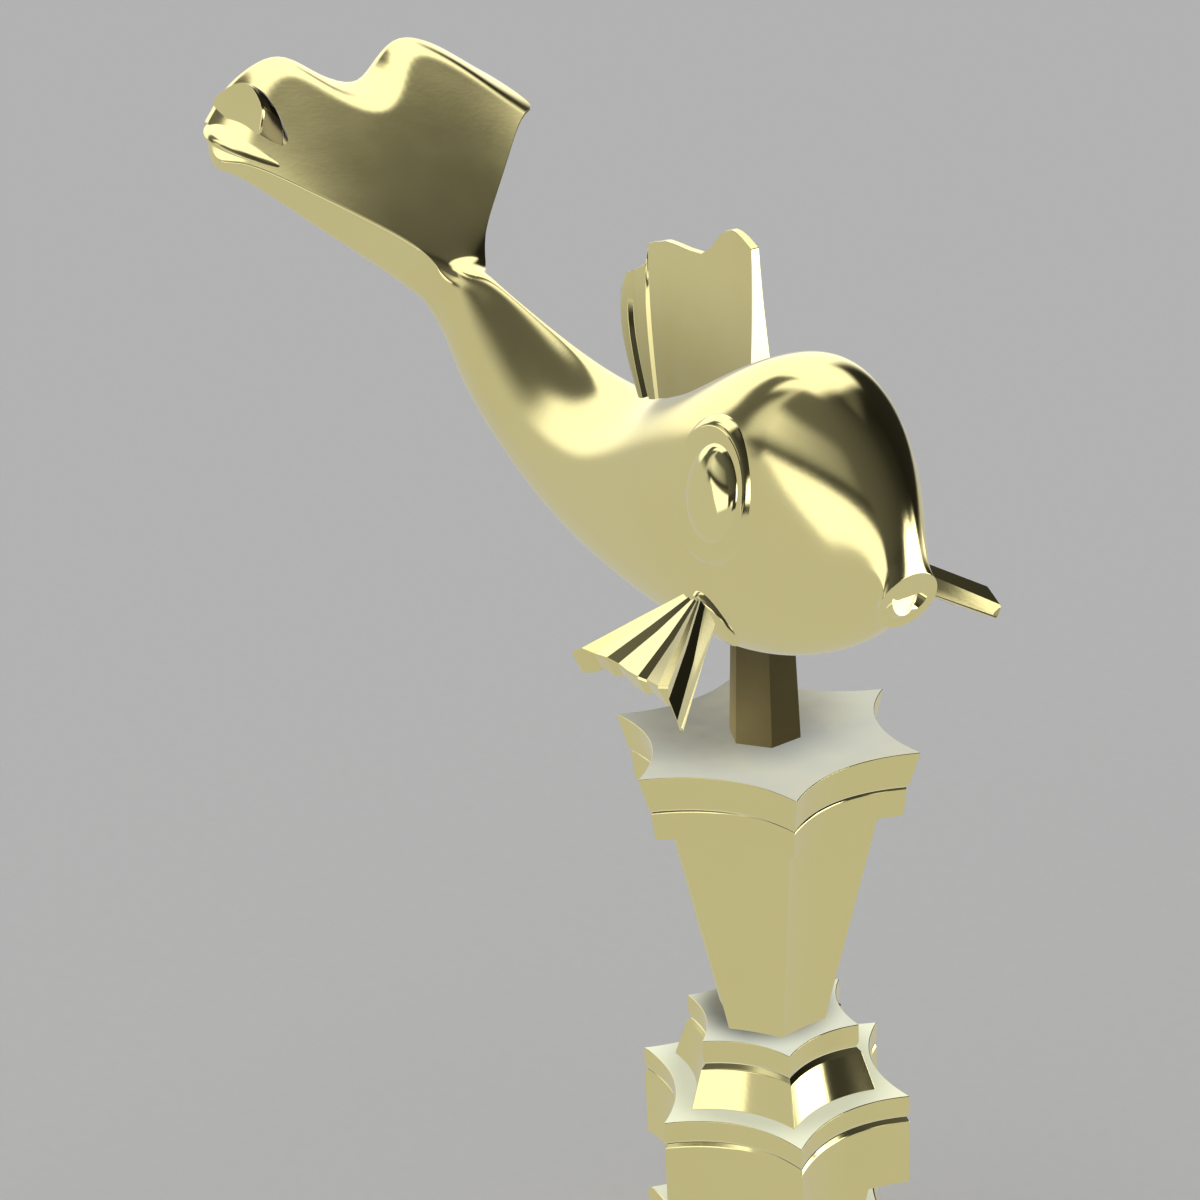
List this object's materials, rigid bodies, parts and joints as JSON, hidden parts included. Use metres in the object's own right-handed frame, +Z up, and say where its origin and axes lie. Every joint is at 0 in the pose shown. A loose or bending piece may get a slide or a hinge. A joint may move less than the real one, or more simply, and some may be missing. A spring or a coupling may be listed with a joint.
{
  "type": "fish statue",
  "caption": "Cast brass fish leaping tail-up on a six-sided post, over a tapering pedestal of stacked concave star-shaped tiers.",
  "frame": {"origin": "centre of the felt's underside, where the statue rests on a table", "axes": "+Z up, +X the way the fish heads, y = 0 the fish's mid-plane, +Y its left side"},
  "size_m": [0.2051, 0.096, 0.2934],
  "materials": {
    "fish_brass": "cast brass, polished to a soft mirror",
    "post_brass": "satin brass bar",
    "pedestal_brass": "polished brass",
    "hidden_brass": "turned brass, unpolished",
    "fastener_steel": "plain steel",
    "felt": "wool felt"
  },
  "bodies": {
    "root": {"fish_body": "fish_brass", "tail_fin": "fish_brass", "tail_dowel": "hidden_brass", "dorsal_fin": "fish_brass", "pectoral_fin_right": "fish_brass", "pectoral_fin_left": "fish_brass", "eye_disc_right": "fish_brass", "eye_disc_left": "fish_brass", "eye_lens_right": "fish_brass", "eye_lens_left": "fish_brass", "belly_bush": "hidden_brass", "hex_post": "post_brass", "cap_plate": "pedestal_brass", "cap_collar": "pedestal_brass", "column": "pedestal_brass", "neck_plate": "pedestal_brass", "cove_block": "pedestal_brass", "shoulder_plate": "pedestal_brass", "plinth_block": "pedestal_brass", "waist_block": "pedestal_brass", "foot_plate": "pedestal_brass", "flare_block": "pedestal_brass", "base_slab": "pedestal_brass", "tie_rod": "fastener_steel", "base_washer": "fastener_steel", "spring_washer": "fastener_steel", "base_nut": "fastener_steel", "locating_pins": "fastener_steel", "felt_pad": "felt"}
  },
  "joints": []
}
